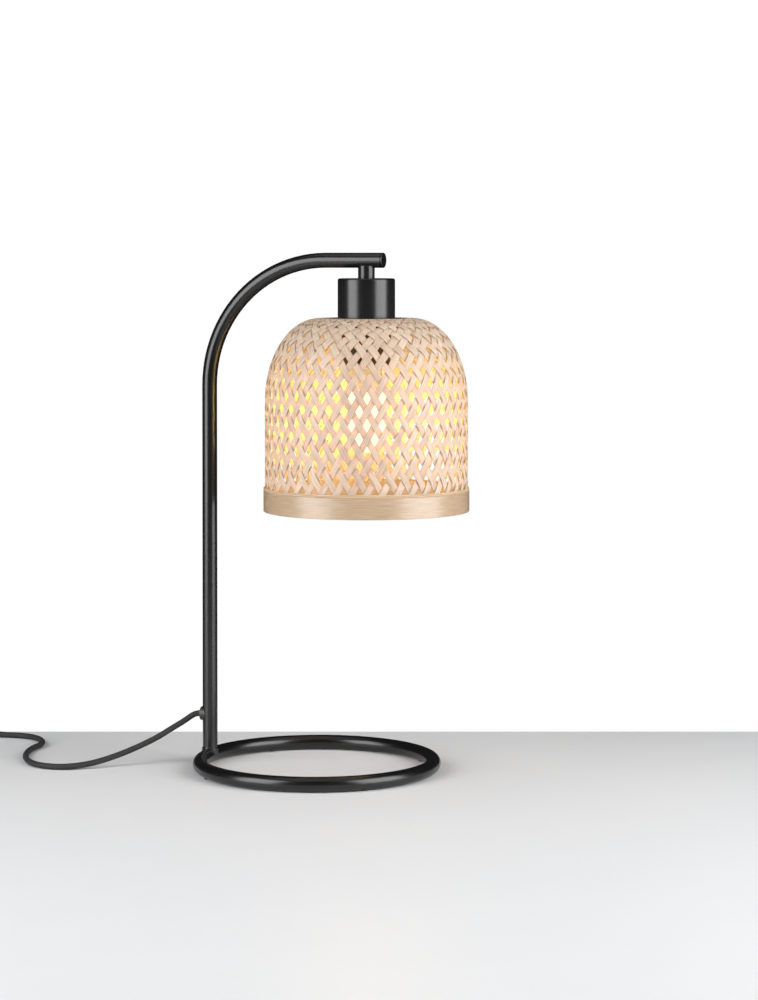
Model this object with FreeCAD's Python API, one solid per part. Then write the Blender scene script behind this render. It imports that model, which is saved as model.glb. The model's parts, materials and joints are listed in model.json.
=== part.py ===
import FreeCAD, Part
import math
import os

# A cane-shaped table lamp with a woven dome shade. Millimetres, +Z up, +X from the post to the shade.
# The origin is at the bottom centre of the lamp's own box, cord left out.

os.makedirs("parts", exist_ok=True)

# ---- base, post and arm ----
tube_diameter = 14.5
tube_wall = 1.2
overall_height = 500.0
bend_radius = 122.0
reach = 164.0                 # post axis to shade axis
arm_overhang = 15.9           # arm tube past the shade axis
ring_bar_diameter = 14.0
ring_radius = 112.75          # centre line of the bar
pad_diameter = 7.0
pad_lift = 0.6                # ring's underside above the table
pad_wrap = 1.2                # how far a pad climbs the bar
weld_height = 1.4
weld_width = 0.9
end_cap_thickness = 2.0
end_cap_insert = 8.0
end_cap_edge = 0.6
end_cap_seam = 0.5            # groove between the tube's end and the cap's face

# ---- stem, cup and lampholder ----
stem_diameter = 16.0
stem_length = 17.25           # arm axis to the cup's top
stem_rise = 2.6               # stem's rim above the arm's underside
stem_edge = 1.2
stem_thread_depth = 8.0
cup_diameter = 54.9
cup_height = 38.0
cup_wall = 1.0
cup_corner = 2.0
nipple_diameter = 10.0
nipple_bore = 7.4
nipple_length = 32.0
washer_diameter = 18.0
washer_thickness = 1.0
nut_flats = 14.0
nut_height = 4.0
skirt_diameter = 47.0
skirt_wall = 2.6
skirt_height = 55.0
skirt_above_shade = 9.0
mouth_rim = 2.0               # skirt below the screw shell
groove_depth = 0.7
groove_pitch = 3.0
holder_cap_height = 13.0
holder_cap_wall = 1.8
upper_ring_diameter = 51.6
upper_ring_height = 5.0
lower_ring_diameter = 60.0
lower_ring_height = 8.0
ring_grip_count = 24
terminal_block_height = 14.0
terminal_spread = 18.0        # between the two terminal screws
terminal_screw_head = 5.4
terminal_screw_shank = 3.0
socket_wall = 0.5
socket_length = 20.0
contact_thickness = 0.5
contact_width = 5.0

# ---- shade ----
shade_diameter = 194.5
shade_height = 184.5
shade_wall = 1.6
shade_flat_radius = 45.0      # flat crown before the shoulder
shade_shoulder = 79.0         # height of the rounded shoulder
fitter_diameter = 90.0
fitter_thickness = 1.0
rim_band_height = 20.2
rim_band_thickness = 1.5
splint_diameter = 1.3
splint_count = 2

# ---- bulb, E27 ----
thread_pitch = 3.629
bulb_turns = 5
bulb_length = 108.0
diffuser_diameter = 38.0      # straight opal tube with a round end
diffuser_wall = 1.2
screw_shell_diameter = 26.2
screw_shell_length = 20.0
screw_shell_wall = 0.35
tip_diameter = 9.5
tip_height = 2.0
insulator_height = 3.6
collar_height = 22.0
collar_neck_diameter = 29.0
collar_wall = 1.6
board_diameter = 33.0
board_thickness = 1.5
chip_size = 3.0
chip_height = 0.8
chip_count = 8

# ---- cord ----
cord_diameter = 5.8
wire_diameter = 2.0
gland_height = 48.2           # cord's way out above the table
gland_diameter = 13.4
gland_lip = 1.6
gland_neck_diameter = 8.6
gland_neck_length = 0.6
inner_turn_radius = 5.0
coil_middle_radius = 35.0
coil_turn_gap = 0.2           # between neighbouring turns
coil_columns = 3
coil_layers = 2
tie_thickness = 0.8
tie_width = 9.0

# ---- inline switch ----
switch_length = 64.0
switch_width = 27.0
switch_height = 18.0
switch_wall = 1.8
switch_corner = 8.0
cord_grip_depth = 7.0
rocker_length = 20.0
rocker_width = 11.0
rocker_rise = 2.6
rocker_tilt = 9.0             # each side of level
rocker_pin_diameter = 2.4
rocker_pin_length = 17.0
case_screw_diameter = 2.6
case_screw_head = 4.6

# ---- plug ----
plug_length = 36.0
plug_width = 35.0
plug_thickness = 13.8
plug_waist = 17.0
pin_diameter = 4.0
pin_length = 19.0
pin_spacing = 18.6
relief_length = 22.0
relief_diameter = 9.0
relief_grooves = 4
relief_groove_pitch = 3.8

# ---- clearances ----
seat_gap = 0.05               # between a piece and the bore it is fitted in
running_gap = 0.05            # radial, hinge pin in its bore
thread_gap = 0.35             # bulb thread in the lampholder's shell
contact_gap = 0.1             # bulb tip below the centre contact
collar_gap = 0.6              # bulb's collar below the lampholder's mouth
rocker_gap = 0.4              # rocker in the case's window

# ---- places worked out from the sizes above ----
tube_radius = tube_diameter / 2
tube_bore_radius = tube_radius - tube_wall
ring_bar_radius = ring_bar_diameter / 2
shade_radius = shade_diameter / 2
rim_outer_radius = shade_radius + rim_band_thickness

# the box runs from the gland's face behind the post to the far side of the rim band
back_of_post = tube_radius + gland_lip
front_of_shade = max(reach + rim_outer_radius, reach + arm_overhang + end_cap_thickness,
                     2 * ring_radius + ring_bar_radius)
rear_of_base = max(back_of_post, ring_bar_radius)
post_x = (rear_of_base - front_of_shade) / 2
ring_x = post_x + ring_radius
shade_x = post_x + reach
arm_end_x = shade_x + arm_overhang

ring_z = pad_lift + ring_bar_radius
arm_z = overall_height - tube_radius
bend_z = arm_z - bend_radius
cup_top_z = arm_z - stem_length
shade_top_z = cup_top_z - cup_height
shade_bottom_z = shade_top_z - shade_height
crown_under_z = shade_top_z - shade_wall
fitter_under_z = crown_under_z - fitter_thickness
skirt_radius = skirt_diameter / 2
skirt_bore = skirt_radius - skirt_wall
skirt_top_z = shade_top_z + skirt_above_shade
skirt_bottom_z = skirt_top_z - skirt_height
holder_cap_top_z = skirt_top_z + holder_cap_height
nipple_top_z = cup_top_z + stem_thread_depth
nipple_bottom_z = nipple_top_z - nipple_length
cup_under_z = cup_top_z - cup_wall
screw_shell_radius = screw_shell_diameter / 2
socket_bore = screw_shell_radius + thread_gap
socket_bottom_z = skirt_bottom_z + mouth_rim
socket_top_z = socket_bottom_z + socket_length
shell_bottom_z = skirt_bottom_z - collar_gap
shell_top_z = shell_bottom_z + screw_shell_length
bulb_tip_z = shell_top_z + insulator_height + tip_height
contact_z = bulb_tip_z + contact_gap
terminal_under_z = contact_z + contact_thickness
terminal_top_z = terminal_under_z + terminal_block_height
collar_bottom_z = shell_bottom_z - collar_height
diffuser_radius = diffuser_diameter / 2
bulb_bottom_z = bulb_tip_z - bulb_length
dome_z = bulb_bottom_z + diffuser_radius
gland_face_x = post_x - back_of_post
cord_radius = cord_diameter / 2

# ---- the cord's route, points chosen by hand, measured from the ring's centre ----
lamp_cord_route = [
    (-121.6, 0.0, 48.2), (-128.5, 0.0, 48.2), (-138.0, -4.0, 40.6), (-147.5, -13.5, 34.0),
    (-158.0, -25.5, 26.0), (-176.0, -35.5, 16.5), (-193.0, -52.5, 9.0), (-210.0, -73.0, 4.2),
    (-232.0, -90.0, 3.0), (-263.0, -85.0, 3.0), (-289.0, -54.0, 3.0), (-305.0, -14.0, 3.0),
    (-306.5, 24.0, 3.0), (-328.0, 50.0, 3.0), (-349.0, 57.0, 3.0), (-370.0, 53.0, 3.0),
    (-389.0, 51.5, 5.0), (-405.0, 52.0, 9.0), (-420.0, 52.0, 9.0)]
coil_lead_route = [
    (-470.0, 52.0, 9.0), (-486.0, 52.0, 9.0), (-507.0, 50.0, 6.5), (-529.0, 38.0, 4.6),
    (-543.0, 18.0, 3.9), (-548.0, -4.0, 3.8), (-548.0, -22.0, 3.8)]
plug_lead_route = [
    (-507.0, -63.0, 9.8), (-493.0, -63.3, 9.4), (-478.0, -65.5, 7.5), (-464.0, -66.0, 6.9),
    (-451.0, -66.0, 6.9)]
switch_centre = (-445.0, 52.0)
coil_centre = (-507.0, -22.0)
plug_start = (-456.0, -66.0)


def vec(x, y, z):
    return FreeCAD.Vector(x, y, z)


def cylinder(radius, height, x, y, z, axis=(0, 0, 1)):
    return Part.makeCylinder(radius, height, vec(x, y, z), vec(*axis))


def tube(outer, inner, height, x, y, z, axis=(0, 0, 1)):
    return cylinder(outer, height, x, y, z, axis).cut(cylinder(inner, height, x, y, z, axis))


def box(low, high):
    size = [b - a for a, b in zip(low, high)]
    return Part.makeBox(size[0], size[1], size[2], vec(*low))


def turned(outline, x, y=0.0):
    """A solid of revolution about the vertical line at x, y from an outline of (radius, z) points."""
    wire = Part.makePolygon([vec(r, 0, z) for r, z in outline + outline[:1]])
    solid = Part.Face(wire).revolve(vec(0, 0, 0), vec(0, 0, 1), 360)
    solid.translate(vec(x, y, 0))
    return solid


def ring(radius, bar_radius, x, y, z):
    return Part.makeTorus(radius, bar_radius, vec(x, y, z), vec(0, 0, 1))


def joined(solids):
    whole = solids[0].fuse(solids[1:])
    return whole.removeSplitter()


def save(node, shape):
    if not shape.isValid():
        raise ValueError(node + " is not a valid shape")
    shape.exportStep("parts/" + node + ".step")
    print(node, "solids", len(shape.Solids), "volume %.1f" % shape.Volume)


def cord_arcs(points):
    """The largest arc each corner of a cord's route leaves room for."""
    radii = []
    for before, corner, after in zip(points, points[1:], points[2:]):
        turn = (corner - before).getAngle(after - corner)
        shorter = min((corner - before).Length, (after - corner).Length)
        radii.append(0.45 * shorter / math.tan(turn / 2))
    return radii


def bent_path(points, radii):
    """Straight runs joined by tangent arcs, and the length of the whole."""
    edges = []
    start = points[0]
    for before, corner, after, radius in zip(points, points[1:], points[2:], radii):
        incoming = (corner - before).normalize()
        outgoing = (after - corner).normalize()
        turn = incoming.getAngle(outgoing)
        setback = radius * math.tan(turn / 2)
        first = corner - incoming * setback
        last = corner + outgoing * setback
        inward = (outgoing - incoming).normalize()
        middle = corner + inward * (radius / math.cos(turn / 2) - radius)
        if (first - start).Length > 1e-6:
            edges.append(Part.LineSegment(start, first).toShape())
        edges.append(Part.Arc(first, middle, last).toShape())
        start = last
    edges.append(Part.LineSegment(start, points[-1]).toShape())
    return Part.Wire(edges)


def swept(path, radius):
    first = path.Edges[0]
    start = first.valueAt(first.FirstParameter)
    heading = first.tangentAt(first.FirstParameter)
    section = Part.Wire([Part.Circle(start, heading, radius).toShape()])
    return path.makePipeShell([section], True, False)


def free_cord(name, route, radius):
    points = [vec(ring_x + x, y, z) for x, y, z in route]
    radii = cord_arcs(points)
    path = bent_path(points, radii)
    solid = swept(path, radius)
    expected = math.pi * radius ** 2 * path.Length
    print(name, "length %.1f" % path.Length, "radii", [round(r) for r in radii],
          "volume/expected %.4f" % (solid.Volume / expected))
    return solid


# ---- base and post ----

def base_ring():
    return ring(ring_radius, ring_bar_radius, ring_x, 0, ring_z)


def foot_pads():
    pads = []
    for quarter in range(4):
        angle = math.radians(45 + 90 * quarter)
        x = ring_x + ring_radius * math.cos(angle)
        y = ring_radius * math.sin(angle)
        pads.append(cylinder(pad_diameter / 2, pad_lift + pad_wrap, x, y, 0).cut(base_ring()))
    return Part.makeCompound(pads)


def bent_tube(radius):
    """Post, bend and arm as one rod of the given radius."""
    post = cylinder(radius, bend_z - ring_z, post_x, 0, ring_z)
    arm = cylinder(radius, arm_end_x - post_x - bend_radius, post_x + bend_radius, 0, arm_z, (1, 0, 0))
    section = Part.Face(Part.Wire([Part.Circle(vec(post_x, 0, bend_z), vec(0, 0, 1), radius).toShape()]))
    bend = section.revolve(vec(post_x + bend_radius, 0, bend_z), vec(0, 1, 0), 90)
    return joined([post, bend, arm])


def post_tube():
    body = bent_tube(tube_radius).cut(bent_tube(tube_bore_radius))
    body = body.cut(base_ring())
    cord_way = cylinder(gland_neck_diameter / 2, tube_diameter, post_x - tube_diameter, 0, gland_height,
                        (1, 0, 0))
    drop_way = cylinder(stem_bore() / 2, tube_diameter, shade_x, 0, arm_z - tube_diameter)
    return body.cut(cord_way).cut(drop_way)


def post_weld():
    top_z = ring_z + ring_bar_radius + weld_height
    bead = turned([(0, ring_z), (tube_radius + weld_width, ring_z),
                   (tube_radius + weld_width, top_z - weld_height),
                   (tube_radius, top_z), (0, top_z)], post_x)
    bead = bead.cut(cylinder(tube_radius, overall_height, post_x, 0, 0))
    return bead.cut(base_ring())


def arm_end_cap():
    plug = cylinder(tube_bore_radius - seat_gap, end_cap_insert, arm_end_x - end_cap_insert, 0, arm_z,
                    (1, 0, 0))
    face = cylinder(tube_radius, end_cap_thickness, arm_end_x, 0, arm_z, (1, 0, 0))
    seam = cylinder(tube_radius, end_cap_seam, arm_end_x, 0, arm_z, (1, 0, 0))
    seam = seam.cut(cylinder(tube_bore_radius, end_cap_seam, arm_end_x, 0, arm_z, (1, 0, 0)))
    rim = [edge for edge in face.Edges if edge.BoundBox.XMin > arm_end_x + end_cap_thickness / 2
           and len(edge.Vertexes) == 1]
    face = face.makeFillet(end_cap_edge, rim)
    return joined([plug, face]).cut(seam)


def cord_gland():
    lip = cylinder(gland_diameter / 2, back_of_post, gland_face_x, 0, gland_height, (1, 0, 0))
    lip = lip.cut(cylinder(tube_radius, overall_height, post_x, 0, 0))
    neck_length = gland_lip + tube_radius - tube_bore_radius + gland_neck_length
    neck = cylinder(gland_neck_diameter / 2 - seat_gap, neck_length, gland_face_x, 0, gland_height, (1, 0, 0))
    bore = cylinder(cord_radius + seat_gap, back_of_post, gland_face_x, 0, gland_height, (1, 0, 0))
    return joined([lip, neck]).cut(bore)


def inner_cord():
    start_x = ring_x + lamp_cord_route[0][0]
    points = [vec(start_x, 0, gland_height), vec(post_x, 0, gland_height), vec(post_x, 0, arm_z),
              vec(shade_x, 0, arm_z), vec(shade_x, 0, nipple_bottom_z - 1)]
    return swept(bent_path(points, [inner_turn_radius, bend_radius, inner_turn_radius]), cord_radius)


# ---- stem, cup and lampholder ----

def stem_bore():
    return nipple_diameter - 0.8


def arm_stem():
    rim_z = arm_z - tube_radius + stem_rise
    stem = cylinder(stem_diameter / 2, rim_z - cup_top_z, shade_x, 0, cup_top_z)
    rim = [edge for edge in stem.Edges if edge.BoundBox.ZMin > rim_z - 0.1]
    stem = stem.makeFillet(stem_edge, rim)
    stem = stem.cut(cylinder(tube_radius, arm_overhang * 4, shade_x - arm_overhang * 2, 0, arm_z, (1, 0, 0)))
    stem = stem.cut(cylinder(stem_bore() / 2, stem_length, shade_x, 0, cup_top_z))
    thread = cylinder(nipple_diameter / 2 + seat_gap, stem_thread_depth, shade_x, 0, cup_top_z)
    return stem.cut(thread)


def threaded_nipple():
    return tube(nipple_diameter / 2, nipple_bore / 2, nipple_length, shade_x, 0, nipple_bottom_z)


def cup_washer():
    return tube(washer_diameter / 2, nipple_diameter / 2 + seat_gap, washer_thickness,
                shade_x, 0, cup_under_z - washer_thickness)


def nipple_nut():
    corner = nut_flats / 2 / math.cos(math.radians(30))
    corners = [vec(corner * math.cos(math.radians(60 * i)), corner * math.sin(math.radians(60 * i)), 0)
               for i in range(7)]
    nut = Part.Face(Part.makePolygon(corners)).extrude(vec(0, 0, nut_height))
    nut = nut.cut(cylinder(nipple_diameter / 2 + seat_gap, nut_height, 0, 0, 0))
    nut.translate(vec(shade_x, 0, cup_under_z - washer_thickness - nut_height))
    return nut


def lampholder_cup():
    outside = cylinder(cup_diameter / 2, cup_height, shade_x, 0, shade_top_z)
    top_edges = [edge for edge in outside.Edges if edge.BoundBox.ZMin > cup_top_z - cup_corner
                 and len(edge.Vertexes) == 1]
    outside = outside.makeFillet(cup_corner, top_edges)
    inside = cylinder(cup_diameter / 2 - cup_wall, cup_height - cup_wall, shade_x, 0, shade_top_z)
    top_edges = [edge for edge in inside.Edges if edge.BoundBox.ZMin > cup_under_z - cup_corner
                 and len(edge.Vertexes) == 1]
    inside = inside.makeFillet(cup_corner - cup_wall, top_edges)
    hole = cylinder(nipple_diameter / 2 + seat_gap, cup_height, shade_x, 0, shade_top_z)
    return outside.cut(inside).cut(hole)


def holder_cap():
    neck = nipple_diameter / 2 + holder_cap_wall + 1.2
    shoulder_z = skirt_top_z + holder_cap_height * 0.45
    neck_z = skirt_top_z + holder_cap_height * 0.7
    thread = nipple_diameter / 2 + seat_gap
    wall = holder_cap_wall
    return turned([(skirt_radius, skirt_top_z), (skirt_radius, shoulder_z), (neck, neck_z),
                   (neck, holder_cap_top_z), (thread, holder_cap_top_z), (thread, neck_z - wall),
                   (neck, neck_z - wall), (skirt_radius - wall, shoulder_z - wall),
                   (skirt_radius - wall, skirt_top_z)], shade_x)


def holder_skirt():
    body = tube(skirt_radius, skirt_bore, skirt_height, shade_x, 0, skirt_bottom_z)
    groove_z = skirt_bottom_z + groove_pitch
    while groove_z < skirt_top_z - groove_pitch:
        groove = ring(skirt_radius + groove_depth / 2, groove_depth, shade_x, 0, groove_z)
        body = body.cut(groove)
        groove_z += groove_pitch
    return body


def socket_sleeve():
    return tube(skirt_bore - seat_gap, socket_bore + socket_wall + seat_gap,
                terminal_under_z - socket_bottom_z, shade_x, 0, socket_bottom_z)


def socket_shell():
    return tube(socket_bore + socket_wall, socket_bore, socket_length, shade_x, 0, socket_bottom_z)


def side_contact():
    outer_x = shade_x + socket_bore
    return box((outer_x - contact_thickness, -contact_width / 2, socket_top_z),
               (outer_x, contact_width / 2, terminal_under_z))


def centre_contact():
    return box((shade_x - contact_width, -contact_width / 2, contact_z),
               (shade_x + contact_width, contact_width / 2, terminal_under_z))


def screw_sides():
    return [shade_x + side * terminal_spread / 2 for side in (-1, 1)]


def terminal_block():
    block = cylinder(skirt_bore - seat_gap, terminal_block_height, shade_x, 0, terminal_under_z)
    for x in screw_sides():
        block = block.cut(cylinder(terminal_screw_shank / 2, terminal_block_height / 2,
                                   x, 0, terminal_top_z - terminal_block_height / 2))
    return block


def terminal_screws():
    screws = []
    for x in screw_sides():
        shank = cylinder(terminal_screw_shank / 2, terminal_block_height / 2, x, 0,
                         terminal_top_z - terminal_block_height / 2)
        head = cylinder(terminal_screw_head / 2, terminal_screw_shank / 2, x, 0, terminal_top_z)
        screws.append(joined([shank, head]))
    return Part.makeCompound(screws)


def holder_wire(side):
    """One conductor from the cord's stripped end to its terminal screw."""
    start_z = nipple_bottom_z - 1
    end_z = terminal_top_z + terminal_screw_shank / 2
    near = side * wire_diameter * 0.6
    far = side * terminal_spread / 2
    drop = start_z - end_z
    points = [vec(shade_x + near, 0, start_z), vec(shade_x + near, 0, start_z - drop * 0.3),
              vec(shade_x + far, 0, end_z + drop * 0.3), vec(shade_x + far, 0, end_z)]
    return swept(bent_path(points, cord_arcs(points)), wire_diameter / 2)


def shade_nut(diameter, height, z):
    """A plastic ring nut for the lampholder's skirt, its rim notched for the fingers."""
    nut = tube(diameter / 2, skirt_radius + seat_gap, height, shade_x, 0, z)
    for notch in range(ring_grip_count):
        angle = 2 * math.pi * notch / ring_grip_count
        nut = nut.cut(cylinder(1.4, height, shade_x + (diameter / 2 + 0.6) * math.cos(angle),
                               (diameter / 2 + 0.6) * math.sin(angle), z))
    return nut


def shade_fitter():
    return tube(fitter_diameter / 2, skirt_radius + seat_gap, fitter_thickness, shade_x, 0, fitter_under_z)


# ---- shade ----

def dome_edges(inset):
    """Crown, rounded shoulder and wall of the shade, from the hole outwards and down."""
    top_z = shade_top_z - inset
    side = shade_radius - inset
    spring_z = shade_top_z - shade_shoulder
    shoulder = Part.Ellipse(vec(shade_flat_radius, 0, top_z), vec(side, 0, spring_z),
                            vec(shade_flat_radius, 0, spring_z))
    hole = skirt_radius + seat_gap
    return [Part.LineSegment(vec(hole, 0, top_z), vec(shade_flat_radius, 0, top_z)).toShape(),
            Part.ArcOfEllipse(shoulder, 0, math.pi / 2).toShape(),
            Part.LineSegment(vec(side, 0, spring_z), vec(side, 0, shade_bottom_z)).toShape()]


def shade_weave():
    outer = dome_edges(0)
    inner = dome_edges(shade_wall)
    hole = skirt_radius + seat_gap
    closing = [Part.LineSegment(vec(shade_radius, 0, shade_bottom_z),
                                vec(shade_radius - shade_wall, 0, shade_bottom_z)).toShape(),
               Part.LineSegment(vec(hole, 0, shade_top_z), vec(hole, 0, crown_under_z)).toShape()]
    edges = Part.sortEdges(outer + inner + closing)[0]
    solid = Part.Face(Part.Wire(edges)).revolve(vec(0, 0, 0), vec(0, 0, 1), 360)
    solid.translate(vec(shade_x, 0, 0))
    return solid


def rim_band(inner_radius):
    return tube(inner_radius + rim_band_thickness, inner_radius, rim_band_height, shade_x, 0, shade_bottom_z)


def rim_splints():
    hoops = []
    for row in range(splint_count):
        z = shade_bottom_z + rim_band_height + splint_diameter * (row + 0.5)
        hoops.append(ring(shade_radius + splint_diameter / 2, splint_diameter / 2, shade_x, 0, z))
    return Part.makeCompound(hoops)


# ---- bulb ----

def bulb_tip_contact():
    return cylinder(tip_diameter / 2, tip_height, shade_x, 0, bulb_tip_z - tip_height)


def bulb_insulator():
    return Part.makeCone(screw_shell_radius - screw_shell_wall, tip_diameter / 2 + 0.5, insulator_height,
                         vec(shade_x, 0, shell_top_z), vec(0, 0, 1))


def bulb_screw_shell():
    return tube(screw_shell_radius, screw_shell_radius - screw_shell_wall, screw_shell_length,
                shade_x, 0, shell_bottom_z)


def bulb_collar():
    neck = collar_neck_diameter / 2
    flare = diffuser_radius - neck
    outside = [(neck, shell_bottom_z), (neck + flare * 0.15, shell_bottom_z - collar_height * 0.3),
               (neck + flare * 0.7, shell_bottom_z - collar_height * 0.7), (diffuser_radius, collar_bottom_z)]
    inside = [(r - collar_wall, z) for r, z in reversed(outside)]
    return turned(outside + inside, shade_x)


def round_ended(radius):
    straight = cylinder(radius, collar_bottom_z - dome_z, shade_x, 0, dome_z)
    return straight.fuse(Part.makeSphere(radius, vec(shade_x, 0, dome_z))).removeSplitter()


def bulb_diffuser():
    return round_ended(diffuser_radius).cut(round_ended(diffuser_radius - diffuser_wall))


def bulb_led_board():
    return cylinder(board_diameter / 2, board_thickness, shade_x, 0, collar_bottom_z + chip_height)


def bulb_led_chips():
    chips = []
    for chip in range(chip_count):
        angle = 2 * math.pi * chip / chip_count
        x = shade_x + board_diameter * 0.32 * math.cos(angle)
        y = board_diameter * 0.32 * math.sin(angle)
        chips.append(box((x - chip_size / 2, y - chip_size / 2, collar_bottom_z),
                         (x + chip_size / 2, y + chip_size / 2, collar_bottom_z + chip_height)))
    return Part.makeCompound(chips)


# ---- cord, coil, switch and plug ----

def cord_coil():
    pitch = cord_diameter + coil_turn_gap
    half_width = pitch * coil_columns / 2
    height = pitch * coil_layers
    x = ring_x + coil_centre[0]
    return tube(coil_middle_radius + half_width, coil_middle_radius - half_width, height,
                x, coil_centre[1], tie_thickness)


def coil_tie():
    pitch = cord_diameter + coil_turn_gap
    reach_out = pitch * coil_columns / 2 + tie_thickness
    x = ring_x + coil_centre[0] + coil_middle_radius
    y = coil_centre[1]
    band = box((x - reach_out, y - tie_width / 2, 0),
               (x + reach_out, y + tie_width / 2, pitch * coil_layers + 2 * tie_thickness))
    return band.cut(cord_coil())


def rounded_slab(length, width, corner, height, z):
    slab = box((-length / 2, -width / 2, z), (length / 2, width / 2, z + height))
    uprights = [edge for edge in slab.Edges if abs(edge.BoundBox.ZLength - height) < 1e-6]
    return slab.makeFillet(corner, uprights)


def switch_hollow():
    return rounded_slab(switch_length - 2 * cord_grip_depth, switch_width - 2 * switch_wall,
                        switch_corner - switch_wall, switch_height - 2 * switch_wall, switch_wall)


def cord_ways():
    radius = cord_radius + seat_gap
    return cylinder(radius, switch_length, -switch_length / 2, 0, switch_height / 2, (1, 0, 0))


def case_screw_places():
    x = (switch_length - cord_grip_depth) / 2
    y = switch_width / 2 - switch_corner + 2.4
    return [(x, y), (-x, -y)]


def case_screw(x, y):
    head = cylinder(case_screw_head / 2, 1.6, x, y, 0.4)
    shank = cylinder(case_screw_diameter / 2, switch_height - 6, x, y, 1.0)
    return joined([head, shank])


def place_on_switch(shape):
    shape.translate(vec(ring_x + switch_centre[0], switch_centre[1], 0))
    return shape


def switch_case_lower():
    half = rounded_slab(switch_length, switch_width, switch_corner, switch_height / 2, 0)
    half = half.cut(switch_hollow()).cut(cord_ways())
    for x, y in case_screw_places():
        half = half.cut(case_screw(x, y)).cut(cylinder(case_screw_head / 2, 1, x, y, 0))
    return place_on_switch(half)


def rocker_pin_z():
    return switch_height - switch_wall - 2.7


def rocker_lugs():
    """Two ears inside the upper case that carry the rocker's pin."""
    inner_y = rocker_width / 2 + rocker_gap
    lugs = []
    for side in (-1, 1):
        near = side * inner_y
        far = side * (switch_width / 2 - switch_wall)
        lugs.append(box((-rocker_pin_diameter, min(near, far), rocker_pin_z() - rocker_pin_diameter),
                        (rocker_pin_diameter, max(near, far), switch_height - switch_wall)))
    return lugs


def switch_case_upper():
    half = rounded_slab(switch_length, switch_width, switch_corner, switch_height / 2, switch_height / 2)
    half = half.cut(switch_hollow()).cut(cord_ways())
    half = joined([half] + rocker_lugs())
    opening = (rocker_length / 2 + rocker_gap, rocker_width / 2 + rocker_gap)
    half = half.cut(box((-opening[0], -opening[1], switch_height - switch_wall),
                        (opening[0], opening[1], switch_height)))
    half = half.cut(cylinder(rocker_pin_diameter / 2, rocker_pin_length, 0, -rocker_pin_length / 2,
                             rocker_pin_z(), (0, 1, 0)))
    for x, y in case_screw_places():
        half = half.cut(case_screw(x, y))
    return place_on_switch(half)


def switch_rocker():
    """A dished key that turns on the pin, stored tipped to its on side."""
    z = rocker_pin_z()
    key = cylinder(rocker_length / 2, rocker_width, 0, -rocker_width / 2, z, (0, 1, 0))
    low = z - 3.0
    end_high = switch_height + rocker_rise
    middle_high = switch_height + 0.6
    half = rocker_length
    outline = [(-half, low), (half, low), (half, end_high), (rocker_length * 0.4, end_high),
               (0, middle_high), (-rocker_length * 0.4, end_high), (-half, end_high)]
    corners = [vec(x, -rocker_width / 2, y) for x, y in outline + outline[:1]]
    block = Part.Face(Part.makePolygon(corners)).extrude(vec(0, rocker_width, 0))
    key = key.common(block)
    key = key.cut(cylinder(rocker_pin_diameter / 2 + running_gap, rocker_width, 0, -rocker_width / 2, z,
                           (0, 1, 0)))
    key.rotate(vec(0, 0, z), vec(0, 1, 0), -rocker_tilt)
    return place_on_switch(key)


def rocker_pin():
    return place_on_switch(cylinder(rocker_pin_diameter / 2, rocker_pin_length, 0, -rocker_pin_length / 2,
                                    rocker_pin_z(), (0, 1, 0)))


def switch_contacts():
    plates = []
    for side in (-1, 1):
        near = side * 5.0
        far = side * (switch_length / 2 - cord_grip_depth - 2)
        base = box((min(near, far), -contact_width / 2, switch_wall),
                   (max(near, far), contact_width / 2, switch_wall + contact_thickness))
        post = cylinder(contact_width / 3, 2.5, (near + far) / 2, 0, switch_wall + contact_thickness)
        plates.append(joined([base, post]))
    return place_on_switch(Part.makeCompound(plates))


def switch_screws():
    return place_on_switch(Part.makeCompound([case_screw(x, y) for x, y in case_screw_places()]))


def plug_x():
    return ring_x + plug_start[0]


def plug_relief():
    y = plug_start[1]
    z = plug_thickness / 2
    sleeve = Part.makeCone(relief_diameter / 2 - 1, relief_diameter / 2, relief_length,
                           vec(plug_x(), y, z), vec(1, 0, 0))
    for groove in range(relief_grooves):
        x = plug_x() + relief_groove_pitch * (groove + 1)
        sleeve = sleeve.cut(tube(relief_diameter, cord_radius + 0.7, 1.4, x, y, z, (1, 0, 0)))
    return sleeve.cut(cylinder(cord_radius + seat_gap, plug_start_depth(), plug_x(), y, z, (1, 0, 0)))


def plug_start_depth():
    return plug_lead_route[-1][0] - plug_start[0]


def plug_body():
    x = plug_x() + relief_length
    y = plug_start[1]
    half = plug_width / 2
    waist = plug_waist / 2
    outline = [(0, -waist), (plug_length * 0.3, -waist), (plug_length * 0.62, -half), (plug_length, -half),
               (plug_length, half), (plug_length * 0.62, half), (plug_length * 0.3, waist), (0, waist)]
    corners = [vec(x + a, y + b, 0) for a, b in outline + outline[:1]]
    body = Part.Face(Part.makePolygon(corners)).extrude(vec(0, 0, plug_thickness))
    long_edges = [edge for edge in body.Edges if edge.BoundBox.ZLength < 1e-6 and edge.BoundBox.XLength > 1]
    return body.makeFillet(2.0, long_edges)


def plug_pins():
    x = plug_x() + relief_length + plug_length
    pins = []
    for side in (-1, 1):
        pin = cylinder(pin_diameter / 2, pin_length, x, plug_start[1] + side * pin_spacing / 2,
                       plug_thickness / 2, (1, 0, 0))
        far_edges = [edge for edge in pin.Edges if edge.BoundBox.XMin > x + pin_length / 2]
        tip = [edge for edge in far_edges if len(edge.Vertexes) == 1]
        pins.append(pin.makeFillet(pin_diameter / 2 * 0.8, tip))
    return Part.makeCompound(pins)


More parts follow.
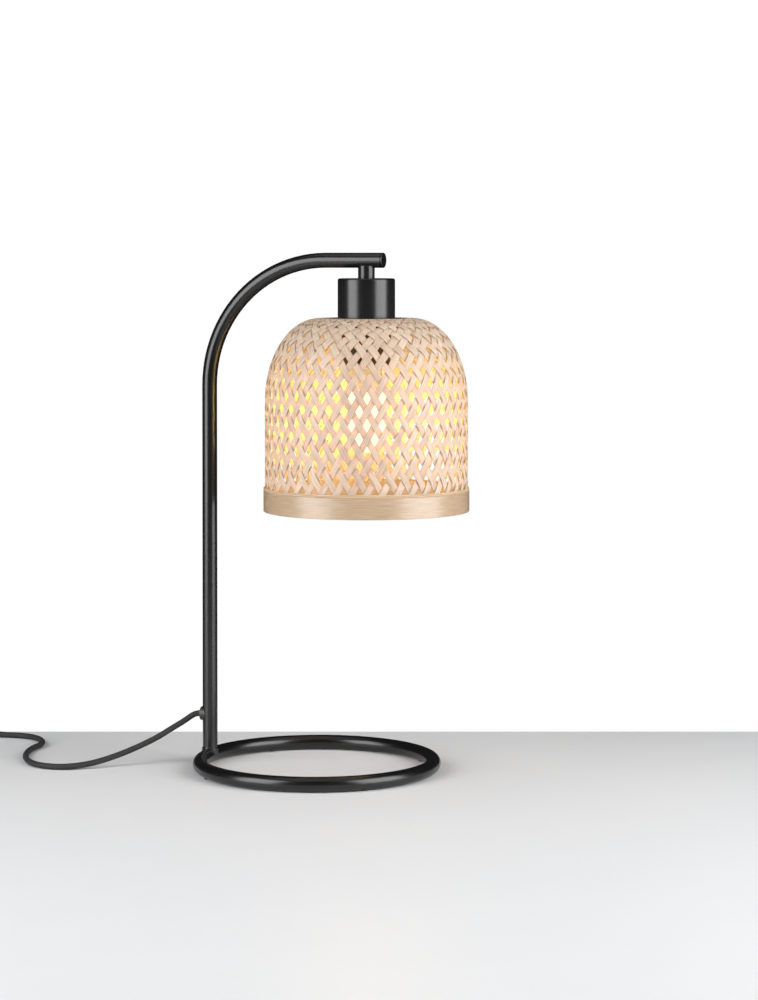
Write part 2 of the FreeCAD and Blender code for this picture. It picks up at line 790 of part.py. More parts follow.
pieces = {
    "base_ring": base_ring(), "foot_pads": foot_pads(), "post_tube": post_tube(), "post_weld": post_weld(),
    "arm_end_cap": arm_end_cap(), "arm_stem": arm_stem(), "cord_gland": cord_gland(),
    "inner_cord": inner_cord(), "threaded_nipple": threaded_nipple(), "cup_washer": cup_washer(),
    "nipple_nut": nipple_nut(),
    "lampholder_cup": lampholder_cup(), "holder_cap": holder_cap(), "holder_skirt": holder_skirt(),
    "socket_sleeve": socket_sleeve(), "socket_shell": socket_shell(), "side_contact": side_contact(),
    "centre_contact": centre_contact(), "terminal_block": terminal_block(),
    "terminal_screws": terminal_screws(), "live_wire": holder_wire(1), "neutral_wire": holder_wire(-1),
    "upper_shade_ring": shade_nut(upper_ring_diameter, upper_ring_height, shade_top_z),
    "lower_shade_ring": shade_nut(lower_ring_diameter, lower_ring_height, fitter_under_z - lower_ring_height),
    "shade_fitter": shade_fitter(), "shade_weave": shade_weave(),
    "rim_band_outer": rim_band(shade_radius),
    "rim_band_inner": rim_band(shade_radius - shade_wall - rim_band_thickness),
    "rim_splints": rim_splints(),
    "bulb_tip_contact": bulb_tip_contact(), "bulb_insulator": bulb_insulator(),
    "bulb_screw_shell": bulb_screw_shell(), "bulb_collar": bulb_collar(), "bulb_diffuser": bulb_diffuser(),
    "bulb_led_board": bulb_led_board(), "bulb_led_chips": bulb_led_chips(),
    "lamp_cord": free_cord("lamp_cord", lamp_cord_route, cord_radius),
    "coil_lead": free_cord("coil_lead", coil_lead_route, cord_radius),
    "cord_coil": cord_coil(), "coil_tie": coil_tie(),
    "plug_lead": free_cord("plug_lead", plug_lead_route, cord_radius),
    "switch_case_lower": switch_case_lower(), "switch_case_upper": switch_case_upper(),
    "switch_rocker": switch_rocker(), "rocker_pin": rocker_pin(), "switch_contacts": switch_contacts(),
    "switch_screws": switch_screws(),
    "plug_relief": plug_relief(), "plug_body": plug_body(), "plug_pins": plug_pins()}

for name, shape in pieces.items():
    save(name, shape)

print("post_x %.2f ring_x %.2f shade_x %.2f" % (post_x, ring_x, shade_x))
print("bulb travel %.3f for %d turns" % (thread_pitch * bulb_turns, bulb_turns))
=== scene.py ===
import json
import math
import random

import bpy
import numpy as np
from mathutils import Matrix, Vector


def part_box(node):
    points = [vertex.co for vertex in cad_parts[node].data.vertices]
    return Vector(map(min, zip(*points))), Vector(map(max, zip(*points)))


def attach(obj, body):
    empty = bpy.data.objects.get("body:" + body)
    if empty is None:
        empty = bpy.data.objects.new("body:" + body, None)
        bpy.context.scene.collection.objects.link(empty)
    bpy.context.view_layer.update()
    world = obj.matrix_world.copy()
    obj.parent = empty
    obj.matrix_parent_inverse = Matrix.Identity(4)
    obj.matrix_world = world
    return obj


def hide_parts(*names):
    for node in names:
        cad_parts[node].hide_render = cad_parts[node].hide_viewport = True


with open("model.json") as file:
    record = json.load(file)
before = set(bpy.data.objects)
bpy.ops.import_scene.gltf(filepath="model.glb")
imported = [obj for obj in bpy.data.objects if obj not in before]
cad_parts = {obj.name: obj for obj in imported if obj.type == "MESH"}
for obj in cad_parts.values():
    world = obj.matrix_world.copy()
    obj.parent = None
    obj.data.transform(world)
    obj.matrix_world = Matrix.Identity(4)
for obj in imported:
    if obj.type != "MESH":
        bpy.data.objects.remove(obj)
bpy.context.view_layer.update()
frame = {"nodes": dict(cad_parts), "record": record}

scene = bpy.context.scene
rng = random.Random(21)


def middleOf(node):
    low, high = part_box(node)
    return (low + high) / 2


def meshObject(name, verts, faces, smooth=True):
    mesh = bpy.data.meshes.new(name)
    mesh.from_pydata(verts, [], faces)
    mesh.polygons.foreach_set("use_smooth", [smooth] * len(mesh.polygons))
    mesh.update()
    obj = bpy.data.objects.new(name, mesh)
    scene.collection.objects.link(obj)
    return obj


def grainAttribute(obj, values):
    # across, along and number of the strip, for the fibre pattern
    layer = obj.data.attributes.new("grainAt", "FLOAT_VECTOR", "POINT")
    layer.data.foreach_set("vector", np.array(values, dtype=np.float32).ravel())


def smoothStep(x):
    x = min(max(x, 0.0), 1.0)
    return x * x * (3 - 2 * x)


# the axis of post, ring and shade, read from the frame
ringMiddle = middleOf("base_ring")
shadeMiddle = middleOf("shade_weave")
shadeLow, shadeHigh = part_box("shade_weave")
shadeX = shadeMiddle.x
shadeR = (shadeHigh.y - shadeLow.y) / 2
shadeBottom = shadeLow.z
shadeTop = shadeHigh.z
print("frame read, shade radius %.4f" % shadeR)


cameraSetup = {
    "turn": 20.55,           # degrees round the lamp
    "away": 2.6745,          # from the ring's centre, along the view
    "side": 0.06003,         # to the right of the ring's centre
    "height": 0.49845,
    "tilt": 1.4,             # degrees down
    "lens": 100.0,
    "shiftY": -0.17779,
}


def makeCamera(setup):
    turn = math.radians(setup["turn"])
    lens = bpy.data.cameras.new("lampCamera")
    lens.lens = setup["lens"]
    lens.sensor_width = 36
    lens.shift_y = setup["shiftY"]
    lens.clip_end = 100
    cam = bpy.data.objects.new("lampCamera", lens)
    right = Vector((math.cos(turn), math.sin(turn), 0))
    ahead = Vector((-math.sin(turn), math.cos(turn), 0))
    spot = Vector((ringMiddle.x, ringMiddle.y, 0)) + right * setup["side"] - ahead * setup["away"]
    cam.location = (spot.x, spot.y, setup["height"])
    cam.rotation_euler = (math.radians(90 - setup["tilt"]), 0, turn)
    scene.collection.objects.link(cam)
    scene.camera = cam
    return cam


makeCamera(cameraSetup)
print("camera placed")


cordSetup = {
    "radius": 0.0029,
    "coilRadius": 0.035,     # middle of the turns
    "pitch": 0.006,
    "turns": 5.25,
    "pointsPerTurn": 24,
    "spread": 1.005,         # the spline runs a little inside its points
    "startAngle": 180,
    "stepFrom": 0.78,        # part of a turn before it moves to the next column
}

# from the gland to the switch, measured from the ring's centre
lampCordRoute = [
    (-0.1216, 0.0, 0.0482), (-0.1285, 0.0, 0.0482), (-0.1380, -0.0040, 0.0406),
    (-0.1475, -0.0135, 0.0340), (-0.1580, -0.0255, 0.0260), (-0.1760, -0.0355, 0.0165),
    (-0.1930, -0.0525, 0.0090), (-0.2100, -0.0730, 0.0042), (-0.2320, -0.0900, 0.0030),
    (-0.2630, -0.0850, 0.0030), (-0.2890, -0.0540, 0.0030), (-0.3050, -0.0140, 0.0030),
    (-0.3065, 0.0240, 0.0030), (-0.3280, 0.0500, 0.0030), (-0.3490, 0.0570, 0.0030),
    (-0.3700, 0.0530, 0.0030), (-0.3890, 0.0515, 0.0050), (-0.4050, 0.0520, 0.0090),
    (-0.4200, 0.0520, 0.0090)]
coilLeadRoute = [
    (-0.4700, 0.0520, 0.0090), (-0.4860, 0.0520, 0.0090), (-0.5070, 0.0500, 0.0065),
    (-0.5290, 0.0380, 0.0046), (-0.5430, 0.0180, 0.0039), (-0.5480, -0.0040, 0.0038)]
plugLeadRoute = [
    (-0.4930, -0.0633, 0.0094), (-0.4780, -0.0655, 0.0075), (-0.4640, -0.0660, 0.0069),
    (-0.4510, -0.0660, 0.0069)]
coilPlace = (-0.5070, -0.0220, 0.0038)


def fromRing(point):
    return Vector((ringMiddle.x + point[0], point[1], point[2]))


def coilTurns(setup):
    # three turns inwards on the table, then outwards on top of them
    pitch = setup["pitch"]
    out = setup["coilRadius"] + pitch
    radii = [out, out - pitch, out - 2 * pitch, out - 2 * pitch, out - pitch, out, out]
    levels = [0, 0, 0, 1, 1, 1, 1]
    count = setup["pointsPerTurn"]
    points = []
    for i in range(int(setup["turns"] * count) + 1):
        turn, part = divmod(i / count, 1)
        turn = int(turn)
        step = smoothStep((part - setup["stepFrom"]) / (1 - setup["stepFrom"]))
        radius = radii[turn] + (radii[turn + 1] - radii[turn]) * step
        level = levels[turn] + (levels[turn + 1] - levels[turn]) * step
        angle = math.radians(setup["startAngle"]) + 2 * math.pi * i / count
        radius *= setup["spread"]
        points.append((coilPlace[0] + radius * math.cos(angle), coilPlace[1] + radius * math.sin(angle),
                       coilPlace[2] + level * pitch))
    return points


def cordCurve(name, points, radius):
    curve = bpy.data.curves.new(name, "CURVE")
    curve.dimensions = "3D"
    spline = curve.splines.new("NURBS")
    spline.points.add(len(points) - 1)
    for spot, point in zip(spline.points, points):
        place = fromRing(point)
        spot.co = (place.x, place.y, place.z, 1)
    spline.order_u = 3
    spline.use_endpoint_u = True
    spline.resolution_u = 8
    curve.bevel_depth = radius
    curve.bevel_resolution = 5
    curve.use_fill_caps = True
    obj = bpy.data.objects.new(name, curve)
    scene.collection.objects.link(obj)
    return obj


def splineLength(obj):
    depth = obj.data.bevel_depth
    obj.data.bevel_depth = 0
    bpy.context.view_layer.update()
    line = bpy.data.meshes.new_from_object(obj)
    spots = np.array([v.co for v in line.vertices])
    obj.data.bevel_depth = depth
    bpy.data.meshes.remove(line)
    return float(np.linalg.norm(np.diff(spots, axis=0), axis=1).sum())


lampCord = cordCurve("lampCord", lampCordRoute, cordSetup["radius"])
plugCord = cordCurve("plugCord", coilLeadRoute + coilTurns(cordSetup) + plugLeadRoute, cordSetup["radius"])
lampCordLength = splineLength(lampCord)
plugCordLength = splineLength(plugCord)
print("cords laid: %.3f m to the switch, %.3f m from it" % (lampCordLength, plugCordLength))


def newMaterial(name):
    mat = bpy.data.materials.new(name)
    mat.use_nodes = True
    return mat, mat.node_tree, mat.node_tree.nodes["Principled BSDF"]


def node(tree, kind, **settings):
    made = tree.nodes.new(kind)
    for key, value in settings.items():
        if hasattr(made, key):
            setattr(made, key, value)
        else:
            made.inputs[key].default_value = value
    return made


def ramp(tree, source, stops):
    made = tree.nodes.new("ShaderNodeValToRGB")
    band = made.color_ramp
    while len(band.elements) < len(stops):
        band.elements.new(0.5)
    for element, (place, colour) in zip(band.elements, stops):
        element.position = place
        element.color = (*colour, 1)
    tree.links.new(source, made.inputs["Fac"])
    return made.outputs["Color"]


def bump(tree, bsdf, height, strength, distance):
    made = node(tree, "ShaderNodeBump")
    made.inputs["Strength"].default_value = strength
    made.inputs["Distance"].default_value = distance
    tree.links.new(height, made.inputs["Height"])
    tree.links.new(made.outputs["Normal"], bsdf.inputs["Normal"])


def objectNoise(tree, scale, detail=3.0, stretch=(1, 1, 1)):
    place = node(tree, "ShaderNodeTexCoord")
    mapping = node(tree, "ShaderNodeMapping")
    mapping.inputs["Scale"].default_value = stretch
    tree.links.new(place.outputs["Object"], mapping.inputs["Vector"])
    noise = node(tree, "ShaderNodeTexNoise")
    noise.inputs["Scale"].default_value = scale
    noise.inputs["Detail"].default_value = detail
    tree.links.new(mapping.outputs["Vector"], noise.inputs["Vector"])
    return noise.outputs["Fac"]


def roughnessFrom(tree, bsdf, source, low, high):
    span = node(tree, "ShaderNodeMapRange")
    span.inputs["To Min"].default_value = low
    span.inputs["To Max"].default_value = high
    tree.links.new(source, span.inputs["Value"])
    tree.links.new(span.outputs["Result"], bsdf.inputs["Roughness"])


wearSetup = {"from": 0.52, "to": 0.62}     # how sharp a corner has to be to show wear


def edgeWear(tree, colour, worn, amount):
    # a little paler where corners and rims are handled
    shape = node(tree, "ShaderNodeNewGeometry")
    span = node(tree, "ShaderNodeMapRange")
    span.inputs["From Min"].default_value = wearSetup["from"]
    span.inputs["From Max"].default_value = wearSetup["to"]
    span.inputs["To Max"].default_value = amount
    tree.links.new(shape.outputs["Pointiness"], span.inputs["Value"])
    mix = node(tree, "ShaderNodeMix", data_type="RGBA")
    tree.links.new(span.outputs["Result"], mix.inputs["Factor"])
    tree.links.new(colour, mix.inputs["A"])
    mix.inputs["B"].default_value = (*worn, 1)
    return mix.outputs["Result"]


def powderCoat():
    mat, tree, bsdf = newMaterial("powderCoat")
    speckle = objectNoise(tree, 900, 4)
    colour = ramp(tree, speckle, [(0.3, (0.003, 0.003, 0.0033)), (0.7, (0.006, 0.006, 0.0063))])
    tree.links.new(edgeWear(tree, colour, (0.03, 0.03, 0.03), 0.4), bsdf.inputs["Base Color"])
    roughnessFrom(tree, bsdf, objectNoise(tree, 140, 3), 0.23, 0.27)
    bump(tree, bsdf, speckle, 0.06, 0.0002)
    return mat


def mouldedPlastic(name, dark, light, roughLow, roughHigh, grain=1400):
    mat, tree, bsdf = newMaterial(name)
    texture = objectNoise(tree, grain, 2)
    colour = ramp(tree, texture, [(0.35, dark), (0.65, light)])
    worn = tuple(c * 1.6 + 0.01 for c in light)
    tree.links.new(edgeWear(tree, colour, worn, 0.35), bsdf.inputs["Base Color"])
    roughnessFrom(tree, bsdf, objectNoise(tree, 60, 3), roughLow, roughHigh)
    bump(tree, bsdf, texture, 0.15, 0.00012)
    return mat


def plainMetal(name, dark, light, roughLow, roughHigh, stretch=(1, 1, 1)):
    mat, tree, bsdf = newMaterial(name)
    bsdf.inputs["Metallic"].default_value = 1
    streaks = objectNoise(tree, 700, 4, stretch)
    tree.links.new(ramp(tree, streaks, [(0.3, dark), (0.7, light)]), bsdf.inputs["Base Color"])
    roughnessFrom(tree, bsdf, streaks, roughLow, roughHigh)
    bump(tree, bsdf, streaks, 0.1, 0.0001)
    return mat


def porcelain():
    mat, tree, bsdf = newMaterial("porcelain")
    clouds = objectNoise(tree, 260, 4)
    tree.links.new(ramp(tree, clouds, [(0.3, (0.78, 0.76, 0.71)), (0.7, (0.88, 0.87, 0.84))]),
                   bsdf.inputs["Base Color"])
    roughnessFrom(tree, bsdf, clouds, 0.5, 0.65)
    bump(tree, bsdf, clouds, 0.2, 0.0002)
    return mat


bambooSetup = {
    "stripDark": (0.36, 0.25, 0.17),
    "stripMiddle": (0.56, 0.445, 0.335),
    "stripPale": (0.69, 0.585, 0.47),
    "stripEdgeBrownAndShade": (0.36, 0.24, 0.155),    # cut edges, browner, with painted shade of the gaps between strips
    "edgeFrom": 2.55,                    # millimetres from the strip's middle
    "edgeTo": 3.25,
    "edgeAmount": 0.6,
    "fibresAcross": 2.3,     # fibre lines per millimetre
    "glowDepth": 0.0011,
    "glowWeight": 0.55,
}


def bambooStrip(setup):
    # split bamboo: fibre lines along each strip, a tone of its own, warm light let through
    mat, tree, bsdf = newMaterial("bambooStrip")
    place = node(tree, "ShaderNodeAttribute", attribute_name="grainAt")
    scaled = node(tree, "ShaderNodeVectorMath", operation="MULTIPLY")
    scaled.inputs[1].default_value = (setup["fibresAcross"], 0.045, 3.7)
    tree.links.new(place.outputs["Vector"], scaled.inputs[0])
    fibre = node(tree, "ShaderNodeTexNoise")
    fibre.inputs["Scale"].default_value = 1.0
    fibre.inputs["Detail"].default_value = 4.0
    fibre.inputs["Roughness"].default_value = 0.65
    tree.links.new(scaled.outputs["Vector"], fibre.inputs["Vector"])
    colour = ramp(tree, fibre.outputs["Fac"], [(0.25, setup["stripDark"]), (0.47, setup["stripMiddle"]),
                                               (0.72, setup["stripPale"])])
    toneAt = node(tree, "ShaderNodeVectorMath", operation="MULTIPLY")
    toneAt.inputs[1].default_value = (0.0, 0.02, 5.3)
    tree.links.new(place.outputs["Vector"], toneAt.inputs[0])
    tone = node(tree, "ShaderNodeTexNoise")
    tone.inputs["Scale"].default_value = 1.0
    tree.links.new(toneAt.outputs["Vector"], tone.inputs["Vector"])
    toneColour = ramp(tree, tone.outputs["Fac"], [(0.3, (0.84, 0.80, 0.80)), (0.7, (1.0, 1.0, 1.0))])
    mix = node(tree, "ShaderNodeMix", data_type="RGBA", blend_type="MULTIPLY")
    mix.inputs["Factor"].default_value = 1
    tree.links.new(colour, mix.inputs["A"])
    tree.links.new(toneColour, mix.inputs["B"])
    # darker towards the strip edges: the browner cut edge and painted shade of the gaps between strips
    parts = node(tree, "ShaderNodeSeparateXYZ")
    tree.links.new(place.outputs["Vector"], parts.inputs["Vector"])
    off = node(tree, "ShaderNodeMath", operation="ABSOLUTE")
    tree.links.new(parts.outputs["X"], off.inputs[0])
    span = node(tree, "ShaderNodeMapRange")
    span.inputs["From Min"].default_value = setup["edgeFrom"]
    span.inputs["From Max"].default_value = setup["edgeTo"]
    span.inputs["To Max"].default_value = setup["edgeAmount"]
    tree.links.new(off.outputs["Value"], span.inputs["Value"])
    edgeBrownAndShade = node(tree, "ShaderNodeMix", data_type="RGBA")
    tree.links.new(span.outputs["Result"], edgeBrownAndShade.inputs["Factor"])
    tree.links.new(mix.outputs["Result"], edgeBrownAndShade.inputs["A"])
    edgeBrownAndShade.inputs["B"].default_value = (*setup["stripEdgeBrownAndShade"], 1)
    tree.links.new(edgeBrownAndShade.outputs["Result"], bsdf.inputs["Base Color"])
    roughnessFrom(tree, bsdf, fibre.outputs["Fac"], 0.62, 0.45)
    bsdf.inputs["Subsurface Weight"].default_value = setup["glowWeight"]
    bsdf.inputs["Subsurface Radius"].default_value = (1.0, 0.76, 0.45)
    bsdf.inputs["Subsurface Scale"].default_value = setup["glowDepth"]
    bump(tree, bsdf, fibre.outputs["Fac"], 0.35, 0.00025)
    return mat


def bambooBand(name, dark, pale, along=0.05, across=1.9):
    # planed bamboo: long grain round the band, read from the same attribute
    mat, tree, bsdf = newMaterial(name)
    place = node(tree, "ShaderNodeAttribute", attribute_name="grainAt")
    scaled = node(tree, "ShaderNodeVectorMath", operation="MULTIPLY")
    scaled.inputs[1].default_value = (across, along, 1.0)
    tree.links.new(place.outputs["Vector"], scaled.inputs[0])
    grain = node(tree, "ShaderNodeTexNoise")
    grain.inputs["Scale"].default_value = 1.0
    grain.inputs["Detail"].default_value = 5.0
    tree.links.new(scaled.outputs["Vector"], grain.inputs["Vector"])
    tree.links.new(ramp(tree, grain.outputs["Fac"], [(0.3, dark), (0.7, pale)]), bsdf.inputs["Base Color"])
    roughnessFrom(tree, bsdf, grain.outputs["Fac"], 0.36, 0.24)
    bsdf.inputs["Coat Weight"].default_value = 0.6
    bsdf.inputs["Coat Roughness"].default_value = 0.3
    bump(tree, bsdf, grain.outputs["Fac"], 0.25, 0.0002)
    return mat


def turnedBamboo(name, dark, pale):
    # the same grain for round hoops, from the angle about the shade's axis
    mat, tree, bsdf = newMaterial(name)
    place = node(tree, "ShaderNodeTexCoord")
    parts = node(tree, "ShaderNodeSeparateXYZ")
    tree.links.new(place.outputs["Object"], parts.inputs["Vector"])
    fromAxis = node(tree, "ShaderNodeMath", operation="SUBTRACT")
    fromAxis.inputs[1].default_value = shadeX
    tree.links.new(parts.outputs["X"], fromAxis.inputs[0])
    angle = node(tree, "ShaderNodeMath", operation="ARCTAN2")
    tree.links.new(parts.outputs["Y"], angle.inputs[0])
    tree.links.new(fromAxis.outputs["Value"], angle.inputs[1])
    spot = node(tree, "ShaderNodeCombineXYZ")
    tree.links.new(angle.outputs["Value"], spot.inputs["X"])
    high = node(tree, "ShaderNodeMath", operation="MULTIPLY")
    high.inputs[1].default_value = 900
    tree.links.new(parts.outputs["Z"], high.inputs[0])
    tree.links.new(high.outputs["Value"], spot.inputs["Y"])
    grain = node(tree, "ShaderNodeTexNoise")
    grain.inputs["Scale"].default_value = 2.2
    grain.inputs["Detail"].default_value = 5.0
    tree.links.new(spot.outputs["Vector"], grain.inputs["Vector"])
    tree.links.new(ramp(tree, grain.outputs["Fac"], [(0.3, dark), (0.7, pale)]), bsdf.inputs["Base Color"])
    roughnessFrom(tree, bsdf, grain.outputs["Fac"], 0.55, 0.4)
    bump(tree, bsdf, grain.outputs["Fac"], 0.25, 0.0002)
    return mat


bulbSetup = {
    "opalDark": (0.46, 0.42, 0.34),
    "opalPale": (0.52, 0.48, 0.40),
    "glow": (1.0, 0.93, 0.66),
    "strength": 0.95,
    "light": (1.0, 0.69, 0.17),
    "watts": 0.60,           # all round the bulb
    "spread": 120,           # degrees
    "sides": 6,
    "clear": 0.002,          # light panels to diffuser
}


def opalGlow(setup):
    mat, tree, bsdf = newMaterial("opalGlow")
    haze = objectNoise(tree, 70, 2)
    tree.links.new(ramp(tree, haze, [(0.3, setup["opalDark"]), (0.7, setup["opalPale"])]),
                   bsdf.inputs["Base Color"])
    roughnessFrom(tree, bsdf, haze, 0.22, 0.3)
    bsdf.inputs["Emission Color"].default_value = (*setup["glow"], 1)
    bsdf.inputs["Emission Strength"].default_value = setup["strength"]
    return mat


def chipGlow(setup):
    mat, tree, bsdf = newMaterial("chipGlow")
    grain = objectNoise(tree, 2000, 2)
    tree.links.new(ramp(tree, grain, [(0.3, (0.80, 0.62, 0.12)), (0.7, (0.92, 0.76, 0.22))]),
                   bsdf.inputs["Base Color"])
    bsdf.inputs["Emission Color"].default_value = (*setup["glow"], 1)
    bsdf.inputs["Emission Strength"].default_value = setup["strength"]
    return mat


def cordJacket():
    mat, tree, bsdf = newMaterial("cordJacket")
    grain = objectNoise(tree, 1500, 3)
    tree.links.new(ramp(tree, grain, [(0.3, (0.008, 0.008, 0.0085)), (0.7, (0.022, 0.022, 0.0225))]),
                   bsdf.inputs["Base Color"])
    roughnessFrom(tree, bsdf, objectNoise(tree, 90, 3), 0.68, 0.8)
    bump(tree, bsdf, grain, 0.35, 0.0003)
    return mat


finishes = {
    "black_coat": powderCoat(),
    "pad_rubber": mouldedPlastic("padRubber", (0.02, 0.02, 0.02), (0.035, 0.035, 0.035), 0.7, 0.85),
    "black_plastic": mouldedPlastic("blackPlastic", (0.013, 0.010, 0.008), (0.022, 0.016, 0.012), 0.36, 0.5),
    "zinc_steel": plainMetal("zincSteel", (0.45, 0.46, 0.48), (0.66, 0.67, 0.69), 0.25, 0.42),
    "brass_contact": plainMetal("brassContact", (0.62, 0.42, 0.16), (0.82, 0.62, 0.30), 0.2, 0.4),
    "block_ceramic": porcelain(),
    "brown_wire": mouldedPlastic("brownWire", (0.10, 0.04, 0.015), (0.15, 0.065, 0.025), 0.35, 0.5),
    "blue_wire": mouldedPlastic("blueWire", (0.02, 0.07, 0.28), (0.04, 0.12, 0.38), 0.35, 0.5),
    "cord_jacket": cordJacket(),
    "bamboo_strip": bambooStrip(bambooSetup),
    "bamboo_band": bambooBand("bambooRim", (0.34, 0.228, 0.138), (0.48, 0.355, 0.243)),
    "bamboo_splint": turnedBamboo("bambooSplint", (0.40, 0.26, 0.15), (0.66, 0.49, 0.33)),
    "nickel_shell": plainMetal("nickelShell", (0.60, 0.58, 0.54), (0.78, 0.76, 0.72), 0.12, 0.25),
    "bulb_black_glass": mouldedPlastic("blackGlass", (0.008, 0.008, 0.01), (0.014, 0.014, 0.017), 0.08, 0.14),
    "bulb_white": mouldedPlastic("bulbWhite", (0.76, 0.75, 0.72), (0.84, 0.83, 0.80), 0.28, 0.4),
    "opal_diffuser": opalGlow(bulbSetup),
    "led_board": plainMetal("ledBoard", (0.72, 0.72, 0.72), (0.86, 0.86, 0.86), 0.35, 0.5),
    "led_chip": chipGlow(bulbSetup),
    "switch_plastic": mouldedPlastic("switchPlastic", (0.014, 0.014, 0.015), (0.023, 0.023, 0.024),
                                     0.3, 0.42),
    "rocker_plastic": mouldedPlastic("rockerPlastic", (0.017, 0.017, 0.018), (0.025, 0.025, 0.026),
                                     0.14, 0.22),
    "plug_plastic": mouldedPlastic("plugPlastic", (0.014, 0.014, 0.015), (0.023, 0.023, 0.024), 0.4, 0.52),
    "tie_plastic": mouldedPlastic("tiePlastic", (0.03, 0.03, 0.03), (0.05, 0.05, 0.05), 0.45, 0.6),
}

slotOf = {part["node"]: part["material_slot"] for part in frame["record"]["subparts"]}
for name, obj in frame["nodes"].items():
    finish = finishes[slotOf[name]]
    if slotOf[name] == "bamboo_band":
        finish = finishes["bamboo_splint"]
    obj.data.materials.clear()
    obj.data.materials.append(finish)
print("finishes made:", len(finishes))


def dress(obj, slotName, body="stand", replaced=()):
    obj.data.materials.clear()
    obj.data.materials.append(finishes[slotName])
    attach(obj, body)
    if replaced:
        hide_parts(*replaced)


weaveSetup = {
    "bands": 42,             # each band goes up, round the crown and down again
    "width": 0.0063,
    "crownWidth": 0.0070,
    "leastWidth": 0.0024,    # where the strips crowd round the crown
    "thickness": 0.00046,
    "lift": 0.00052,         # over and under the middle surface
    "wallPull": 0.0475,      # a band's nearest approach to the axis, if it ran straight on
    "crownPull": 0.0400,
    "pullEase": 0.035,       # from the flat crown outwards, where the wall's pull is reached
    "flat": 0.045,           # crown's flat radius
    "shoulder": 0.079,
    "wall": 0.0016,
    "startAbove": 0.0015,    # strip ends above the shade's lower edge
    "pairing": 0.085,        # part of the spacing that pairs move together by, near the crown
    "pairFrom": 0.062,       # below the top, where the pairing is complete and where it starts
    "pairTo": 0.024,
    "turn": -68.86,          # degrees, so that a column of holes faces front
    "profileSteps": (120, 300, 200),     # wall, dome and crown
    "samplesPerCrossing": 6,
    "wobble": 0.00028,
    "squareness": 2.4,       # how flat a strip lies between crossings
    "room": 0.96,            # part of the free spacing a strip may fill
    "grainWidth": 6.5,       # millimetres of grain across a strip
}


def pullAt(radius, setup):
    reach = smoothStep((radius - setup["flat"]) / setup["pullEase"])
    return setup["crownPull"] + (setup["wallPull"] - setup["crownPull"]) * reach


def domeProfile(setup):
    # middle surface of the weave, from the lower edge up to the crown: radius, height, outward normal
    side = shadeR - setup["wall"] / 2
    top = shadeTop - setup["wall"] / 2
    spring = shadeTop - setup["shoulder"]
    rise = top - spring
    run = side - setup["flat"]
    profile = []
    low = shadeBottom + setup["startAbove"]
    wallSteps, domeSteps, crownSteps = setup["profileSteps"]
    for i in range(wallSteps):
        profile.append((side, low + (spring - low) * i / wallSteps, 1.0, 0.0))
    for i in range(domeSteps):
        t = math.pi / 2 * i / domeSteps
        nr, nz = math.cos(t) / run, math.sin(t) / rise
        size = math.hypot(nr, nz)
        profile.append((setup["flat"] + run * math.cos(t), spring + rise * math.sin(t), nr / size, nz / size))
    for i in range(crownSteps):
        # closer samples near the turning circle, where the angle changes fast
        left = (1 - i / (crownSteps - 1)) ** 2
        radius = setup["crownPull"] + (setup["flat"] - setup["crownPull"]) * left
        profile.append((radius, top, 0.0, 1.0))
    return profile


def bandPath(setup):
    # angle still to go to the band's turning point, at each height of the profile
    profile = domeProfile(setup)
    angle = [0.0]
    for (r0, z0, *_), (r1, z1, *_) in zip(profile, profile[1:]):
        r = (r0 + r1) / 2
        step = math.hypot(r1 - r0, z1 - z0)
        pull = pullAt(r, setup)
        if r1 <= setup["flat"] and r0 <= setup["flat"]:
            turned = math.acos(min(1, pull / r0)) - math.acos(min(1, pull / r1))
        else:
            turned = pull * step / (r * math.sqrt(r * r - pull * pull))
        angle.append(angle[-1] + turned)
    whole = angle[-1]
    return profile, [whole - a for a in angle], whole


def liftAt(crossing, setup):
    # over at even crossings on the way up and under on the way down, with flat tops
    if abs(crossing) < 1:
        return setup["lift"] * math.sin(math.pi * crossing / 2)
    square = setup["squareness"]
    wave = math.tanh(square * math.cos(math.pi * crossing)) / math.tanh(square)
    return setup["lift"] * (wave if crossing < 0 else -wave)


